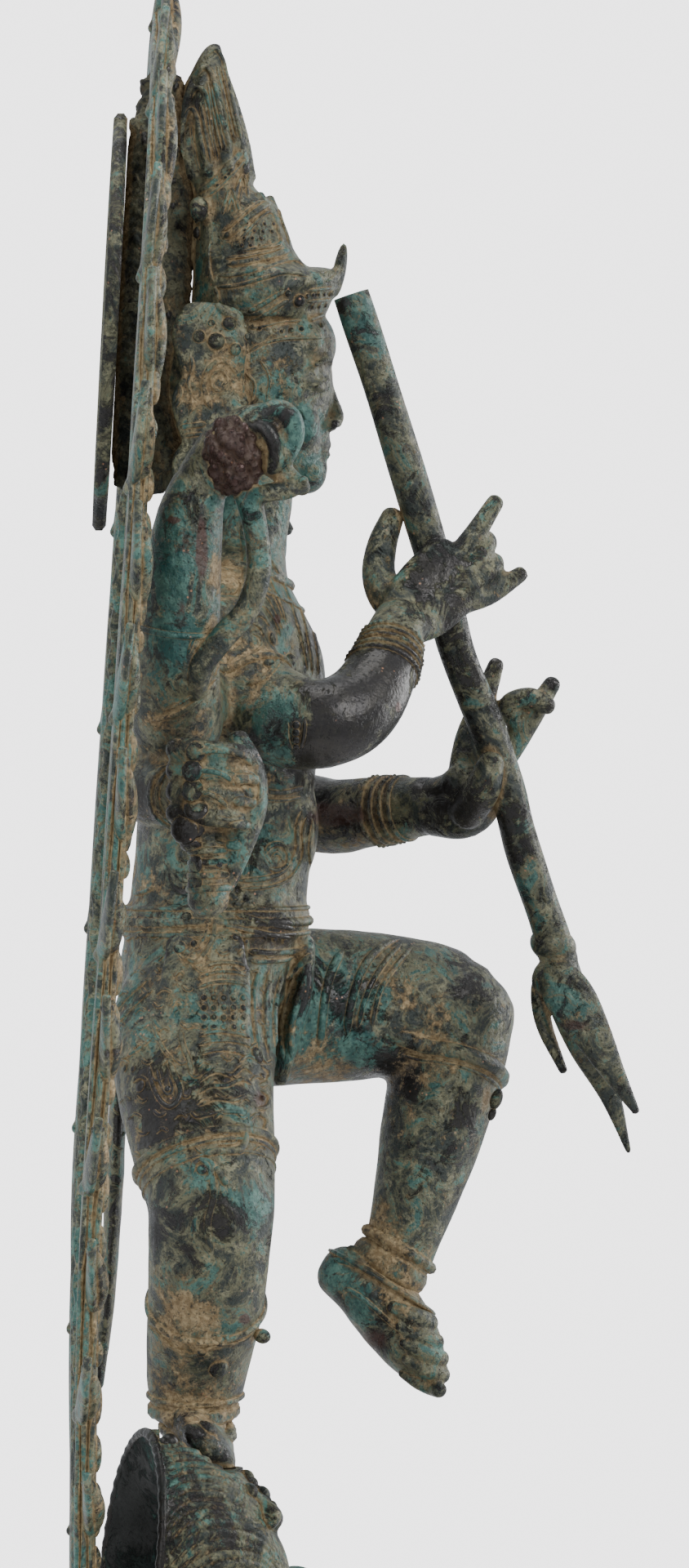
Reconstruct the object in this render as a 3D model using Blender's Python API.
"""Bronze statue: a six-armed dancing deity on a prone dwarf, in an open arch of flames.

Metres, Z up, origin at the centre of the plinth's underside. The figure faces -Y and its
right side is -X. The deity's pose is held as parts of its own height.
"""
import math

import bmesh
import bpy
import numpy as np
from mathutils import Matrix, Vector

# Plinth; its plan follows from the arch that stands on it
PLINTH_HEIGHT = 0.040
PLINTH_MARGIN = 0.0235
PLINTH_BEHIND = 0.0174
PLINTH_PETALS = 16
PETAL_DEPTH = 0.0030

# Dwarf under the foot
DWARF_HEIGHT = 0.081
DWARF_PARTS = 81.0
HAIR_WALL = 0.0040
HAIR_LOCKS = 18
LOCK_DEPTH = 0.0016
MOUTH_SLOPE = 0.12
MOUTH_TURN = 0.22
DWARF_GRAIN = 0.0018
DWARF_TRIANGLES = 620

# Deity, from its sole to the tip of the crown
FIGURE_HEIGHT = 0.4255
PARTS = 425.5
FIGURE_TRIANGLES = 4880
GRAIN = 1.45

# Trident
SHAFT_RADIUS = 0.0055
KNOB_RADIUS = 5.8
RING_THICKNESS = 1.3
HEAD_GRAIN = 0.6
HEAD_TRIANGLES = 420

# How far the deity's arms reach to the side and behind, in parts of its height
ARM_REACH = 125.8
BACK_REACH = 28.6

# Arch of flames, and the room it leaves beside, over and behind the deity
ROOM_BESIDE = 0.0242
ROOM_OVER = 0.0255
ROOM_BEHIND = 0.0089
ARCH_THICKNESS = 0.0062
ARCH_BAND = 0.016
ARCH_LEAN = 0.066
ARCH_FOOT_SHARE = 0.67
FLAMES_PER_SIDE = 17
FLAME_LENGTH = 0.018
FLAME_ROOT = 0.001

# Plate behind the head; its level, plane and lean go with the deity
NIMBUS_HALF_WIDTH = 0.043
NIMBUS_THICKNESS = 0.0045
NIMBUS_ROWS = 14
NIMBUS_LOW = 276.0
NIMBUS_HIGH = 403.5
NIMBUS_PLANE = 28.8
NIMBUS_LEAN = 0.053

# Room left between pieces that touch, and how far the cuts for it reach: under and over the
# sole, behind the plate, past the shaft's ends and round the standing foot
GAP = 0.0003
FOOT_DEPTH = 0.03
PLATE_DEPTH = 0.01
SHAFT_OVERRUN = 6.0
FOOT_REACH = 10.5

SOLE_LEVEL = PLINTH_HEIGHT + DWARF_HEIGHT + GAP
UNIT = FIGURE_HEIGHT / PARTS
ARCH_HEIGHT = DWARF_HEIGHT + FIGURE_HEIGHT + ROOM_OVER
ARCH_HALF_WIDTH = ARM_REACH * UNIT + ROOM_BESIDE
ARCH_PLANE = BACK_REACH * UNIT + ROOM_BEHIND
ARCH_BEND = 0.263 * ARCH_HEIGHT
ARCH_EASE = 0.056 * ARCH_HEIGHT
PLINTH_HALF_WIDTH = ARCH_FOOT_SHARE * (ARCH_HALF_WIDTH - FLAME_LENGTH / 2) + PLINTH_MARGIN
PLINTH_HALF_DEPTH = ARCH_PLANE + ARCH_THICKNESS / 2 + PLINTH_BEHIND

# Each limb runs through stations of (x, y, height over the sole, two half widths), in parts
# of the deity's height.
LIMBS = {
    "thigh_right": [(-16, 3, 128.6, 26, 25), (-34, 4, 111.1, 24, 24), (-52, 2.2, 92.8, 21, 21.5),
                    (-66, 0.2, 77, 18.8, 19), (-67, 0.7, 62.7, 17.6, 18), (-61, 1.5, 46.6, 17, 17.2),
                    (-53, 3.4, 30.1, 15.6, 15.6), (-48, 4.5, 17, 13.2, 13.6), (-47, 4.4, 8.8, 12.6, 9)],
    "foot_right": [(-38, 3.6, 8, 10, 8), (-50, 3.3, 7.5, 12.5, 8), (-64, 2.1, 6.2, 12, 6.2),
                   (-77, 0.9, 5, 10, 4)],
    "thigh_left": [(14, -1.7, 129, 26, 25), (28, -25.1, 129.3, 25, 24.5), (34, -49.6, 129.5, 23.5, 23.5),
                   (37, -71.6, 129.4, 21, 20), (37, -81, 127.3, 18, 17)],
    "calf_left": [(37, -82.1, 127.8, 18, 17), (36, -78, 112, 18.5, 17.5), (34, -72.9, 91.7, 16.8, 16.5),
                  (31, -68.1, 74, 14.2, 14), (29, -63.6, 58.9, 11.8, 11.8), (28, -60.7, 50.1, 11, 11)],
    "foot_left": [(27, -43.1, 47, 8.5, 8.5), (26, -52.2, 41.4, 11, 11), (25, -61.3, 30, 11, 11),
                  (24, -67.3, 21.2, 10.5, 10), (23, -71.8, 15, 9, 7)],
    "arm_right": [(-40, -1.6, 237.9, 15, 15), (-55, -15.6, 220.7, 15, 15), (-66, -31.4, 216.3, 13.4, 13.4),
                  (-60, -43.3, 221.1, 12.4, 12.4), (-50, -51, 231.7, 10.8, 10.8),
                  (-40, -55, 241.2, 9, 9.2), (-33, -58.2, 247.5, 7.6, 8.4)],
    "palm_right": [(-32, -58.3, 246.8, 7, 8.2), (-26, -64.4, 252.7, 6, 11.5), (-23, -72, 260.2, 5, 12),
                   (-22, -77.1, 263.7, 4.4, 11)],
    "thumb_right": [(-26, -61.9, 250.2, 5.5, 5.5), (-22, -55.5, 254.5, 6, 6), (-17, -52.4, 262.1, 5.2, 5.2),
                    (-13, -53.7, 271.4, 4.6, 4.6), (-11, -57, 280, 3.6, 3.6)],
    "index_right": [(-22, -74.6, 265.2, 4, 4), (-20, -81.4, 274.4, 3.4, 3.4), (-18, -87.8, 284.2, 2.7, 2.7)],
    "middle_right": [(-21, -77.1, 262.7, 4, 4), (-18, -84.1, 270.3, 3.4, 3.4), (-13, -85.5, 273, 3, 3)],
    "ring_right": [(-21, -78.9, 259.3, 4, 4), (-18, -86.1, 263.4, 3.4, 3.4), (-13, -88, 266.1, 3, 3)],
    "little_right": [(-21, -77.4, 253.8, 4.2, 4.2), (-17, -86.2, 256.5, 3.6, 3.6),
                     (-13, -96, 262.6, 2.7, 2.7)],
    "arm_left": [(40, -5.9, 239.9, 15, 15), (56, -14.7, 213.2, 14, 14), (60, -20.6, 195.1, 12.8, 12.8),
                 (44, -40, 188.7, 12, 12), (33, -52.1, 189.8, 11, 11), (21, -65.3, 191.4, 9.4, 9.6),
                 (15, -71.2, 191.9, 8.6, 9)],
    "palm_left": [(15, -71.2, 191.4, 8.2, 9), (8, -79.5, 192.7, 8, 11), (5, -83.8, 197.7, 7, 10)],
    "thumb_left": [(2, -80.8, 190.2, 6, 6), (-7, -85, 197.8, 5.6, 5.6), (-10, -87.3, 205.5, 4, 4)],
    "index_left": [(8, -79.8, 199, 5, 5), (10, -82.2, 212.9, 4.4, 4.4), (11, -87.6, 227.2, 3.4, 3.4),
                   (11, -90.6, 235.8, 2.5, 2.5)],
    "middle_left": [(9, -82.1, 195.2, 5, 5), (12, -91.7, 205.3, 4.4, 4.4), (11, -100.3, 217.9, 3.8, 3.8),
                    (10, -108, 229.8, 2.7, 2.7)],
    "ring_left": [(11, -98.7, 215.4, 3.4, 3.4), (9, -94, 222.7, 3.2, 3.2), (7, -100.4, 225.2, 3.4, 3.4),
                  (6, -106.3, 222.6, 2.8, 2.8)],
    "sash": [(0, 22, 132, 12, 4), (0, 25.9, 106.7, 11, 2.8), (0, 27.4, 76.8, 9, 2.8),
             (0, 29.7, 41.9, 7, 2.6), (0, 32.9, 14.5, 4, 2.2)],
    "apron": [(-3, -31, 150, 9, 3), (-4, -30, 136, 9, 3), (-5, -26.5, 122, 7, 3), (-6, -23, 108, 4, 2.4)],
    "side_cloth": [(-37, 1, 152, 4, 12), (-42, 1, 136, 4.5, 14), (-52, 2, 112, 5, 13), (-62, 1, 96, 3, 8)],
    "bracket": [(0, 12, 412.3, 5, 6), (0, 13, 388.6, 7, 11.5), (0, 15, 356.2, 8, 11.8),
                (0, 16.5, 326.2, 8, 12), (0, 17.5, 300, 7, 12), (0, 18, 291, 5, 9)],
}

# The two back arms are alike on both sides; the left pair stands a little further forward.
BACK_LIMBS = {
    "arm_upper": [(-40, 4.7, 237.9, 14, 14), (-70, 9.4, 221, 13.6, 13.6), (-92, 11, 217.3, 13.6, 13.4),
                  (-104, 11.3, 231.2, 12.6, 12.4), (-110, 10.3, 254.8, 12, 11.6),
                  (-113, 7.9, 273.2, 9.8, 9.8), (-114, 5.3, 282.9, 8.2, 8.2)],
    "palm_upper": [(-114, 4.2, 284.3, 7.5, 8), (-116, -4.3, 294.4, 7.5, 9), (-118, -13.5, 299.4, 6.5, 7.5),
                   (-118, -19.8, 299.9, 4.8, 5)],
    "finger_upper": [(-118, -12.8, 291.5, 4, 4), (-119, -19.7, 285.7, 3.2, 3.2),
                     (-119, -24.3, 282.3, 2.4, 2.4)],
    "serpent": [(-118, -7.3, 284.6, 4, 4), (-119, -10.5, 271.8, 3.6, 3.6), (-119, -11.6, 259.1, 3.6, 3.6),
                (-118, -8.2, 248, 3.6, 3.6), (-117, -1.3, 240.2, 3.8, 3.8), (-115, 4.7, 232.6, 4, 4),
                (-110, 6.8, 224.6, 4, 4)],
    "arm_lower": [(-38, 5.6, 225.8, 13, 13), (-66, 13.2, 207.4, 12.4, 12.4), (-86, 17, 197.8, 11.6, 11.6),
                  (-102, 11.7, 195.5, 9.4, 9.4), (-110, 5.9, 195.5, 8, 8)],
    "fist_lower": [(-116, 7, 207.1, 7, 7.5), (-117, 4.7, 200.2, 9, 10.5), (-117, 3.8, 192.1, 8.5, 9.5),
                   (-117, 3.3, 185.6, 6.2, 6.2)],
    "pommel": [(-117, 3.3, 187.4, 5.4, 5.4), (-118, 2.9, 177, 5, 5), (-118, 2.7, 165.7, 6, 6)],
    "plate": [(-117, -5.9, 211.7, 3, 3), (-117, -7.3, 203.6, 5, 6), (-117, -7.8, 193.2, 5, 6.5),
              (-117, -5.4, 181.6, 4, 5), (-117, -2.2, 170.1, 2.4, 3)],
}
LEFT_FORWARD = 7

# Level sections of the trunk: height over the sole, middle y, half width, half depth.
TRUNK = [(114, 2, 27, 17), (129, 1, 36, 24), (141, 0, 38, 26), (154, -3, 34, 27), (169, -5, 30, 27),
         (189, -6, 31, 26.5), (209, -7, 36, 28), (226, -8, 41, 29), (239, -8, 44, 28), (251, -7, 44, 23.5),
         (260, -8, 33, 18), (268, -11, 19, 14), (275, -12.5, 13.5, 13), (285, -14, 13.5, 13),
         (296, -14, 13, 13)]

# Level sections of the crown, the same way.
CROWN = [(340, -16, 20, 20), (346, -17.5, 22, 22), (353, -18.5, 22, 22.5), (357, -14, 17.5, 17.5),
         (364, -11.5, 16, 15), (375, -9.6, 15, 13.3), (381, -5.4, 12, 10.4), (389, -3.6, 12.2, 10.6),
         (397, -2.2, 12, 10.4), (407, -1, 11, 9.2), (414, -1.2, 9, 7.2), (419, -1.8, 7, 5.6),
         (423, -2.6, 4.2, 3.6), (425, -3.4, 1.8, 1.6)]

# Belt and its roll, the same way.
BELT = [(152, -3, 32.5, 26), (154, -3, 36, 28.8), (160, -3.4, 35, 28.8), (162, -3.6, 31, 26)]

# Rounded forms: centre, half sizes, turn about x in degrees.
FORMS = [((0, -13.5, 321), (21.5, 26, 31), 0), ((0, -24, 333), (17.5, 16.5, 14), 0),
         ((0, -21, 304), (16.5, 16, 16), 0), ((0, -31.5, 294), (8, 6, 6.5), 0),
         ((0, -40, 309.5), (4.4, 4.6, 4.2), -35), ((0, -37.5, 317), (2.8, 3.2, 10), -8),
         ((0, -36, 301.5), (7.5, 4, 3), 0), ((-43, -4, 241), (14, 16, 14), 0),
         ((43, -4, 241), (14, 16, 14), 0), ((0, -19, 348), (22.5, 23.5, 6.5), -15),
         ((0, -41.5, 356), (3.6, 2, 8.5), 10), ((-13, 2, 373.5), (2.6, 2.6, 2.6), 0),
         ((13, 2, 373.5), (2.6, 2.6, 2.6), 0), ((-117, -2.4, 296.5), (6.4, 6.4, 6.4), 0)]

# Rings round the limbs: centre, direction, ring radius and thickness.
RINGS = [((-60.5, 1.8, 44), (0.1, 0, 1), 17, 2.2), ((-47, 4.4, 12), (0, 0, 1), 13, 2.6),
         ((35.5, -76.5, 106), (0.1, -0.35, 1), 17.8, 2), ((28.5, -62, 53), (0, -0.4, 1), 12, 2.8),
         ((-45, -53, 236.5), (0.45, -0.55, 0.8), 10, 1.6), ((27, -59, 190.5), (-0.6, -0.75, 0.1), 10.6, 1.6),
         ((-108, 11, 243), (-0.2, -0.1, 1), 12.6, 1.4), ((33, -45, 129.5), (0, -1, 0), 24, 2),
         ((35, -56, 129.5), (0, -1, 0), 23, 2), ((-57, 1.4, 86), (0.55, 0.05, 1), 20.4, 2),
         ((-49.5, -10.5, 225), (0.6, 0.5, 0.75), 15.4, 1.8), ((0, -10, 264), (0, -0.3, 1), 20.5, 1.9)]

# Trident: the run of the shaft, in parts of the deity's height.
SHAFT = [(-14, -44.2, 347.2), (-13, -55.4, 313.1), (-12, -70.4, 263.6), (-9, -76.9, 238.8),
         (-4, -87.3, 214), (-2, -93, 196.5), (0, -97.7, 179), (3, -106.1, 155.1), (5, -109.6, 144.5)]
PRONGS = [[(3, -104, 140, 3, 4.5), (-1, -109, 138, 4, 5), (-3, -114.2, 134, 3.4, 4.2),
           (-5, -119.6, 124, 3, 4), (-5, -125.6, 112, 2.4, 3.2), (-3, -133.7, 98.3, 0.8, 0.9)],
          [(5, -110.6, 143, 5, 5), (5, -113, 134, 4.8, 5.6), (5, -118.6, 119, 3.4, 4.6),
           (5, -125.5, 103, 2, 2.8), (5, -131.8, 85.3, 0.8, 0.9)],
          [(6, -107, 140, 4, 4.5), (9, -104, 134.5, 3, 3), (9, -105.4, 124, 2.4, 2.6),
           (7, -111, 110.4, 0.9, 0.9)]]


def clear_scene():
    for item in list(bpy.data.objects):
        bpy.data.objects.remove(item, do_unlink=True)


def material(name, colour, roughness, metallic):
    made = bpy.data.materials.new(name)
    made.use_nodes = True
    shader = made.node_tree.nodes["Principled BSDF"]
    shader.inputs["Base Color"].default_value = (*colour, 1.0)
    shader.inputs["Roughness"].default_value = roughness
    shader.inputs["Metallic"].default_value = metallic
    made.diffuse_color = (*colour, 1.0)
    return made


def add_object(name, body, skin):
    if body.calc_volume(signed=True) < 0:
        bmesh.ops.reverse_faces(body, faces=body.faces[:])
    mesh = bpy.data.meshes.new(name)
    body.to_mesh(mesh)
    body.free()
    made = bpy.data.objects.new(name, mesh)
    bpy.context.scene.collection.objects.link(made)
    if skin is not None:
        mesh.materials.append(skin)
    return made


def spline(points, steps):
    """Evenly run a smooth curve through the points."""
    given = np.array(points, dtype=float)
    padded = np.vstack([2 * given[0] - given[1], given, 2 * given[-1] - given[-2]])
    out = []
    for i in range(len(given) - 1):
        a, b, c, d = padded[i:i + 4]
        for j in range(steps):
            t = j / steps
            out.append(0.5 * (2 * b + (c - a) * t + (2 * a - 5 * b + 4 * c - d) * t * t
                              + (3 * b - a - 3 * c + d) * t ** 3))
    out.append(given[-1])
    return np.array(out)


def bridge(body, rings, closed=False):
    count = len(rings[0])
    pairs = list(zip(rings, rings[1:]))
    if closed:
        pairs.append((rings[-1], rings[0]))
    for low, high in pairs:
        for i in range(count):
            k = (i + 1) % count
            body.faces.new((low[i], low[k], high[k], high[i]))


def cap(body, ring, point, flip):
    tip = body.verts.new(point)
    count = len(ring)
    for i in range(count):
        pair = (ring[i], ring[(i + 1) % count])
        body.faces.new((pair[1], pair[0], tip) if flip else (pair[0], pair[1], tip))


def limb(body, stations, sides=14, steps=5, side=(1.0, 0.0, 0.0), round_ends=True):
    """A closed limb of elliptical sections: the first half width lies along the side axis."""
    run = spline(stations, steps)
    centres = run[:, :3]
    tangents = np.gradient(centres, axis=0)
    tangents /= np.linalg.norm(tangents, axis=1)[:, None]
    rows = []
    if round_ends:
        for share in (0.75, 0.4):
            back = run[0, 3:5].min() * 0.8 * share
            rows.append((centres[0] - tangents[0] * back, tangents[0],
                         run[0, 3:5] * math.sqrt(1 - share * share)))
    for i in range(len(run)):
        rows.append((centres[i], tangents[i], run[i, 3:5]))
    if round_ends:
        for share in (0.4, 0.75):
            on = run[-1, 3:5].min() * 0.8 * share
            rows.append((centres[-1] + tangents[-1] * on, tangents[-1],
                         run[-1, 3:5] * math.sqrt(1 - share * share)))
    rings = []
    reference = np.array(side)
    for centre, tangent, half in rows:
        first = reference - tangent * reference.dot(tangent)
        first /= np.linalg.norm(first)
        second = np.cross(tangent, first)
        ring = []
        for k in range(sides):
            angle = 2 * math.pi * k / sides
            ring.append(body.verts.new(centre + first * half[0] * math.cos(angle)
                                       + second * half[1] * math.sin(angle)))
        rings.append(ring)
    bridge(body, rings)
    cap(body, rings[0], rows[0][0], True)
    cap(body, rings[-1], rows[-1][0], False)


def stack(body, levels, sides=24):
    """A closed body from level sections of (height, middle y, half width, half depth)."""
    run = spline(levels, 3)
    rings = []
    for height, middle, width, depth in run:
        ring = []
        for k in range(sides):
            angle = 2 * math.pi * k / sides
            ring.append(body.verts.new((width * math.cos(angle), middle + depth * math.sin(angle), height)))
        rings.append(ring)
    bridge(body, rings)
    cap(body, rings[0], (0, run[0][1], run[0][0]), True)
    cap(body, rings[-1], (0, run[-1][1], run[-1][0]), False)


def form(body, centre, half, turn=0.0, rows=10):
    place = Matrix.Translation(centre) @ Matrix.Rotation(math.radians(turn), 4, "X")
    place = place @ Matrix.Diagonal((*half, 1.0))
    bmesh.ops.create_uvsphere(body, u_segments=rows + 6, v_segments=rows, radius=1.0, matrix=place)


def hoop(body, centre, direction, radius, thick, sides=28):
    axis = Vector(direction).normalized()
    first = axis.orthogonal().normalized()
    second = axis.cross(first)
    rings = []
    for k in range(sides):
        angle = 2 * math.pi * k / sides
        out = first * math.cos(angle) + second * math.sin(angle)
        ring = []
        for j in range(8):
            turn = 2 * math.pi * j / 8
            ring.append(body.verts.new(Vector(centre) + out * (radius + thick * math.cos(turn))
                                       + axis * thick * math.sin(turn)))
        rings.append(ring)
    bridge(body, rings, closed=True)


def shifted(stations, mirror):
    """Back limbs: as given for the right side, mirrored and a little further forward for the left."""
    if not mirror:
        return stations
    return [(-x, y - LEFT_FORWARD, z, a, b) for x, y, z, a, b in stations]


def deity_body():
    body = bmesh.new()
    stack(body, TRUNK)
    stack(body, CROWN)
    stack(body, BELT)
    for name in LIMBS:
        limb(body, LIMBS[name])
    for name in BACK_LIMBS:
        limb(body, shifted(BACK_LIMBS[name], False))
        limb(body, shifted(BACK_LIMBS[name], True))
    for centre, half, turn in FORMS:
        form(body, centre, half, turn)
    for centre, direction, radius, thick in RINGS:
        hoop(body, centre, direction, radius, thick)
    ear_pieces(body)
    crown_flutes(body)
    return body


def ear_pieces(body):
    """Flat ear ornaments that stand out behind the cheeks, with a wavy back edge."""
    for side in (-1, 1):
        for k in range(7):
            level = 291 + 7.5 * k
            reach = 10.5 + 1.8 * math.sin(2.1 * k)
            form(body, (side * 25.5, -1.5, level), (4.6, reach, 5.2), 0, 8)


def crown_flutes(body):
    """Tall rounded leaves that close the crown, and the folded panels under them."""
    for k in range(10):
        angle = 2 * math.pi * (k + 0.5) / 10
        cosine, sine = math.cos(angle), math.sin(angle)
        limb(body, [(11.2 * cosine, -4.2 + 10 * sine, 384, 2.4, 2.4),
                    (11.4 * cosine, -2.4 + 9.6 * sine, 395, 2.6, 2.6),
                    (9.6 * cosine, -1.2 + 7.8 * sine, 407, 2.2, 2.2),
                    (5.6 * cosine, -1.8 + 4.4 * sine, 416.5, 1.4, 1.4)], sides=8, steps=3)
    for k in range(8):
        angle = 2 * math.pi * k / 8
        cosine, sine = math.cos(angle), math.sin(angle)
        limb(body, [(16.5 * cosine, -11.8 + 15.6 * sine, 359, 3.2, 1.6),
                    (15.6 * cosine, -10.6 + 14.4 * sine, 367, 3, 1.6),
                    (13.6 * cosine, -8.4 + 12.6 * sine, 378, 1.6, 1.2)], sides=8, steps=3,
             side=(-sine, cosine, 0))


def in_place(made, level):
    """Bring a body given in parts of the deity's height to its size and level."""
    made.data.transform(Matrix.Translation((0, 0, level)) @ Matrix.Scale(UNIT, 4))


def triangle_count(made):
    bpy.context.view_layer.update()
    seen = made.evaluated_get(bpy.context.evaluated_depsgraph_get())
    mesh = seen.to_mesh()
    mesh.calc_loop_triangles()
    count = len(mesh.loop_triangles)
    seen.to_mesh_clear()
    return count


def fuse(made, grain, triangles):
    """Melt overlapping bodies into one skin and thin it to the given number of triangles."""
    melt = made.modifiers.new("melt", "REMESH")
    melt.mode = "VOXEL"
    melt.voxel_size = grain
    ease = made.modifiers.new("ease", "SMOOTH")
    ease.factor = 0.5
    ease.iterations = 2
    thin = made.modifiers.new("thin", "DECIMATE")
    thin.ratio = 1.0
    thin.ratio = triangles / triangle_count(made)


def subtract(made, cutter):
    cutter.hide_render = True
    cutter.display_type = "WIRE"
    cut = made.modifiers.new("cut_" + cutter.name, "BOOLEAN")
    cut.operation = "DIFFERENCE"
    cut.solver = "EXACT"
    cut.object = cutter


def join_to(made, other):
    other.hide_render = True
    other.display_type = "WIRE"
    join = made.modifiers.new("join_" + other.name, "BOOLEAN")
    join.operation = "UNION"
    join.solver = "EXACT"
    join.object = other


def box_body(low, high):
    body = bmesh.new()
    size = Vector(high) - Vector(low)
    middle = (Vector(high) + Vector(low)) / 2
    bmesh.ops.create_cube(body, size=1.0, matrix=Matrix.Translation(middle) @ Matrix.Diagonal((*size, 1.0)))
    return body


def shaft_body(radius, overrun=0.0, sides=18):
    body = bmesh.new()
    run = np.array(SHAFT, dtype=float)
    if overrun:
        start = run[0] + (run[0] - run[1]) / np.linalg.norm(run[0] - run[1]) * overrun
        end = run[-1] + (run[-1] - run[-2]) / np.linalg.norm(run[-1] - run[-2]) * overrun
        run = np.vstack([start, run, end])
    stations = [(*point, radius, radius) for point in run]
    limb(body, stations, sides=sides, steps=1, round_ends=False)
    return body


def make_deity():
    made = add_object("figure", deity_body(), material("figure_patina", (0.13, 0.15, 0.11), 0.5, 0.6))
    in_place(made, SOLE_LEVEL)
    fuse(made, GRAIN * UNIT, FIGURE_TRIANGLES)
    hole = add_object("staff_room", shaft_body((SHAFT_RADIUS + GAP) / UNIT, SHAFT_OVERRUN), None)
    in_place(hole, SOLE_LEVEL)
    subtract(made, hole)
    plate = add_object("nimbus_room", nimbus_body(GAP, PLATE_DEPTH), None)
    in_place(plate, SOLE_LEVEL)
    subtract(made, plate)
    low, high = footprint()
    under = add_object("sole_room", box_body((*low, SOLE_LEVEL - FOOT_DEPTH), (*high, SOLE_LEVEL)), None)
    subtract(made, under)
    return made


def footprint():
    """Corners of the ground that the standing foot covers, seen from above."""
    stations = np.array(LIMBS["foot_right"] + LIMBS["thigh_right"][-1:])
    low = stations[:, :2].min(axis=0) - FOOT_REACH
    high = stations[:, :2].max(axis=0) + FOOT_REACH
    return tuple(low * UNIT), tuple(high * UNIT)


def make_trident():
    head = bmesh.new()
    for stations in PRONGS:
        limb(head, stations, sides=10, steps=3)
    hoop(head, SHAFT[-1], (0.1, -0.35, -0.93), SHAFT_RADIUS / UNIT, RING_THICKNESS, 16)
    form(head, SHAFT[-1], (KNOB_RADIUS, KNOB_RADIUS, KNOB_RADIUS))
    prongs = add_object("prongs", head, None)
    in_place(prongs, SOLE_LEVEL)
    fuse(prongs, HEAD_GRAIN * UNIT, HEAD_TRIANGLES)
    shaft = shaft_body(SHAFT_RADIUS / UNIT, sides=14)
    made = add_object("trident", shaft, material("trident_bronze", (0.12, 0.12, 0.09), 0.45, 0.6))
    in_place(made, SOLE_LEVEL)
    join_to(made, prongs)
    return made


def arch_line():
    """Outer edge of the arch's band from the left foot over the point to the right foot."""
    share = [(ARCH_FOOT_SHARE, 0), (0.745, 0.07), (0.851, 0.17), (0.957, 0.32), (1, 0.47), (0.968, 0.62),
             (0.851, 0.75), (0.638, 0.86), (0.383, 0.925), (0.16, 0.952), (0, 0.968)]
    width = ARCH_HALF_WIDTH - FLAME_LENGTH / 2
    half = spline([(x * width, z * ARCH_HEIGHT) for x, z in share], 14)
    left = [(-x, z) for x, z in half[:-1]]
    right = list(reversed([(x, z) for x, z in half]))
    line = np.array(left + right)
    lengths = np.concatenate([[0], np.cumsum(np.linalg.norm(np.diff(line, axis=0), axis=1))])
    return line, lengths


def flame(share):
    """Outline of one tongue across its own width: a slow rise and a quick fall."""
    rise = 0.62
    if share < rise:
        return (share / rise) ** 1.5
    return ((1 - share) / (1 - rise)) ** 0.8


def arch_shift(height):
    """How far the arch stands behind the middle at a height over its feet: upright, then leaning."""
    over = height - ARCH_BEND
    return ARCH_PLANE - ARCH_LEAN * 0.5 * (over + math.sqrt(over * over + ARCH_EASE ** 2))


def arch_rows():
    line, lengths = arch_line()
    total = lengths[-1]
    flames = 2 * FLAMES_PER_SIDE + 1
    stops = (0.0, 0.3, 0.62, 0.82)
    steps = [flame_index + stop for flame_index in range(FLAMES_PER_SIDE) for stop in stops]
    steps += [FLAMES_PER_SIDE, FLAMES_PER_SIDE + 0.25]
    steps = steps + [flames / 2] + [flames - step for step in reversed(steps)]
    rows = []
    for step in steps:
        at = total * step / flames
        x = np.interp(at, lengths, line[:, 0])
        z = np.interp(at, lengths, line[:, 1])
        ahead = min(at + total * 0.004, total)
        behind = max(at - total * 0.004, 0)
        tangent = np.array([np.interp(ahead, lengths, line[:, 0]) - np.interp(behind, lengths, line[:, 0]),
                            np.interp(ahead, lengths, line[:, 1]) - np.interp(behind, lengths, line[:, 1])])
        tangent /= np.linalg.norm(tangent)
        normal = np.array([-tangent[1], tangent[0]])
        from_foot = min(step, flames - step)
        if from_foot < FLAMES_PER_SIDE:
            tall = flame(from_foot % 1.0) * min(from_foot / 2, 1.0)
        else:
            tall = 2 * (from_foot - FLAMES_PER_SIDE)
        onward = tangent if step < flames / 2 else -tangent
        if step == flames / 2:
            onward = np.array([0.0, 0.0])
        rows.append((np.array([x, z]), normal, onward, tall))
    return rows


def make_arch():
    body = bmesh.new()
    rings = []
    for point, normal, onward, tall in arch_rows():
        inner = point - normal * ARCH_BAND
        ridge = point - normal * ARCH_BAND * 0.45
        tip = point + normal * (FLAME_LENGTH * tall + FLAME_ROOT) + onward * FLAME_LENGTH * 0.45 * tall
        thin = ARCH_THICKNESS * (0.42 - 0.18 * tall)
        thick = ARCH_THICKNESS * 0.5
        section = [(inner, -thick * 0.55), (ridge, -thick), (tip, -thin),
                   (tip, thin), (ridge, thick), (inner, thick * 0.55)]
        ring = []
        for (x, z), y in section:
            level = PLINTH_HEIGHT + GAP + z
            ring.append(body.verts.new((x, arch_shift(z) + y, level)))
        rings.append(ring)
    for ring in (rings[0], rings[-1]):
        for vert in ring:
            vert.co.z = PLINTH_HEIGHT + GAP
    bridge(body, rings)
    body.faces.new(list(reversed(rings[0])))
    body.faces.new(rings[-1])
    bmesh.ops.triangulate(body, faces=body.faces[:])
    bmesh.ops.recalc_face_normals(body, faces=body.faces[:])
    return add_object("aureole", body, material("aureole_patina", (0.17, 0.19, 0.15), 0.6, 0.5))


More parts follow.
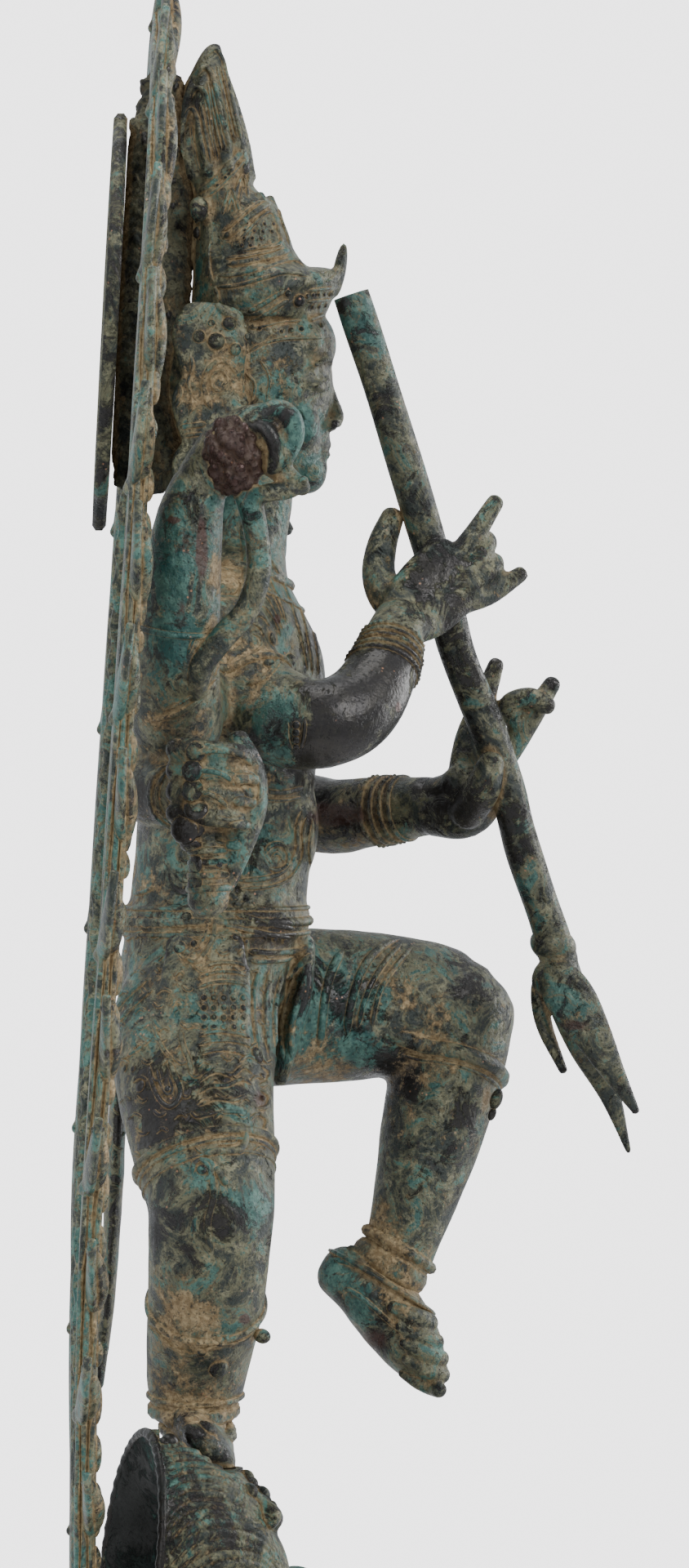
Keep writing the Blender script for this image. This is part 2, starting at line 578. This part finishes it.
def nimbus_body(front_room, back_room):
    """Upright leaf-shaped plate with a pointed top, level with the crown."""
    body = bmesh.new()
    rings = []
    for i in range(2 * NIMBUS_ROWS):
        step = i + 0.5
        share = min(step, 2 * NIMBUS_ROWS - step) / NIMBUS_ROWS
        side = -1 if i < NIMBUS_ROWS else 1
        wide = math.sin(math.pi * min(share * 0.93 + 0.07, 1.0) ** 1.25) ** 0.6
        rings.append((side * wide * NIMBUS_HALF_WIDTH / UNIT,
                      NIMBUS_LOW + (NIMBUS_HIGH - NIMBUS_LOW) * share))
    rings.insert(NIMBUS_ROWS, (0.0, NIMBUS_HIGH + 2))
    rings.append((0.0, NIMBUS_LOW - 2))
    middle = (NIMBUS_LOW + NIMBUS_HIGH) / 2
    faces = []
    for offset in (-NIMBUS_THICKNESS / 2 - front_room, NIMBUS_THICKNESS / 2 + back_room):
        ring = [body.verts.new((x, NIMBUS_PLANE - NIMBUS_LEAN * (z - middle) + offset / UNIT, z))
                for x, z in rings]
        faces.append(ring)
    bridge(body, faces)
    body.faces.new(list(reversed(faces[0])))
    body.faces.new(faces[1])
    bmesh.ops.recalc_face_normals(body, faces=body.faces[:])
    return body


def make_nimbus():
    plate = nimbus_body(0.0, 0.0)
    made = add_object("head_nimbus", plate, material("nimbus_patina", (0.17, 0.18, 0.13), 0.6, 0.5))
    in_place(made, SOLE_LEVEL)
    return made


def make_plinth():
    """Two rows of petals between a foot and a top slab, on an oval plan."""
    body = bmesh.new()
    levels = [(0, 1.0, 0), (0.16, 1.0, 0), (0.22, 0.95, 0.3), (0.42, 0.96, 1), (0.54, 0.86, 0),
              (0.78, 0.95, 1), (0.88, 0.985, 0), (1.0, 0.985, 0)]
    sides = PLINTH_PETALS * 4
    rings = []
    for height, share, petals in levels:
        ring = []
        for k in range(sides):
            angle = 2 * math.pi * k / sides
            swell = abs(math.cos(angle * PLINTH_PETALS / 2)) - 1
            power = 0.72
            x = math.copysign(abs(math.cos(angle)) ** power, math.cos(angle))
            y = math.copysign(abs(math.sin(angle)) ** power, math.sin(angle))
            inset = PETAL_DEPTH * swell * petals
            ring.append(body.verts.new((x * (PLINTH_HALF_WIDTH * share + inset),
                                        y * (PLINTH_HALF_DEPTH * share + inset), height * PLINTH_HEIGHT)))
        rings.append(ring)
    bridge(body, rings)
    body.faces.new(list(reversed(rings[0])))
    body.faces.new(rings[-1])
    return add_object("plinth", body, material("plinth_patina", (0.14, 0.15, 0.11), 0.6, 0.5))


def dwarf_body():
    """Prone body along x, head at the right end, in parts of the dwarf's own height."""
    body = bmesh.new()
    limb(body, [(-62, -6, 19.5, 20, 20), (-40, -4, 22.5, 24, 23), (-10, -2, 21.5, 25, 23),
                (24, 0, 20, 23, 21), (44, 0, 18, 20, 18)], side=(0, 1, 0))
    form(body, (-76, -8, 46), (17, 15, 22))
    form(body, (-76, -22, 33), (9, 6, 8))
    form(body, (-56, -25, 34), (12, 12, 15))
    form(body, (-77, -17.5, 66), (3.5, 3.5, 3.5))
    limb(body, [(-54, -28, 30, 9, 9), (-50, -36, 20, 8, 8), (-68, -38, 6.5, 7, 7), (-84, -34, 5, 6, 5)])
    limb(body, [(-30, -18, 18, 8, 8), (-14, -34, 11, 7, 7), (-30, -40, 6, 6, 6)])
    limb(body, [(38, -8, 17.5, 13, 13), (66, -24, 13, 11, 11), (88, -10, 8, 8, 8)], side=(0, 1, 0))
    limb(body, [(38, 8, 17.5, 13, 13), (66, 17, 11, 11, 11), (90, 12, 7, 8, 8)], side=(0, 1, 0))
    return body


def hair_horn(locks, depth, wall):
    """A hollow horn of swept hair: locks run along its outside, its mouth is turned to the right."""
    body = bmesh.new()
    outer = spline([(-77, -15, 42, 15, 19), (-77, -7, 46, 21, 30), (-79, 4, 50, 27, 36),
                    (-81, 15, 53, 31, 38), (-82, 23.5, 54, 33, 39)], 1)
    inner = spline([(-82, 23.5, 54, 33, 39), (-81.5, 19.5, 50, 27, 28.5), (-81, 14.5, 46, 25.5, 25.5),
                    (-79, 6, 43, 17, 19)], 1)
    inner[0, 3:5] -= wall
    rings = []
    for row in np.vstack([outer, inner]):
        ring = []
        for k in range(locks * 2):
            angle = math.pi * k / locks
            lift = -depth * (k % 2) if len(rings) < len(outer) else 0.0
            across = (row[3] + lift) * math.cos(angle)
            rise = (row[4] + lift) * math.sin(angle)
            ring.append(body.verts.new((row[0] + across, row[1] + across * MOUTH_TURN - rise * MOUTH_SLOPE,
                                        row[2] + rise)))
        rings.append(ring)
    bridge(body, rings)
    cap(body, rings[0], outer[0][:3], True)
    cap(body, rings[-1], inner[-1][:3], False)
    bmesh.ops.recalc_face_normals(body, faces=body.faces[:])
    return body


def make_dwarf():
    """Prone dwarf with its hair swept back into an open hollow fan."""
    size = DWARF_HEIGHT / DWARF_PARTS
    lift = Matrix.Translation((0, 0, PLINTH_HEIGHT + GAP)) @ Matrix.Scale(size, 4)
    horn = hair_horn(HAIR_LOCKS, LOCK_DEPTH / size, HAIR_WALL / size)
    made = add_object("dwarf", horn, material("dwarf_patina", (0.12, 0.14, 0.11), 0.6, 0.5))
    made.data.transform(lift)
    trunk = add_object("dwarf_trunk", dwarf_body(), None)
    trunk.data.transform(lift)
    fuse(trunk, DWARF_GRAIN, DWARF_TRIANGLES)
    join_to(made, trunk)
    low, high = footprint()
    top = PLINTH_HEIGHT + DWARF_HEIGHT
    room = box_body((low[0], low[1] - FOOT_DEPTH, top), (*high, top + FOOT_DEPTH))
    seat = add_object("foot_seat", room, None)
    subtract(made, seat)
    wide = 2 * PLINTH_HALF_WIDTH
    room = box_body((-wide, -wide, -wide), (wide, wide, PLINTH_HEIGHT + GAP))
    floor = add_object("plinth_room", room, None)
    subtract(made, floor)
    return made


def shade(made):
    for face in made.data.polygons:
        face.use_smooth = True


def main():
    clear_scene()
    make_plinth()
    shade(make_dwarf())
    shade(make_deity())
    shade(make_trident())
    make_arch()
    make_nimbus()


main()
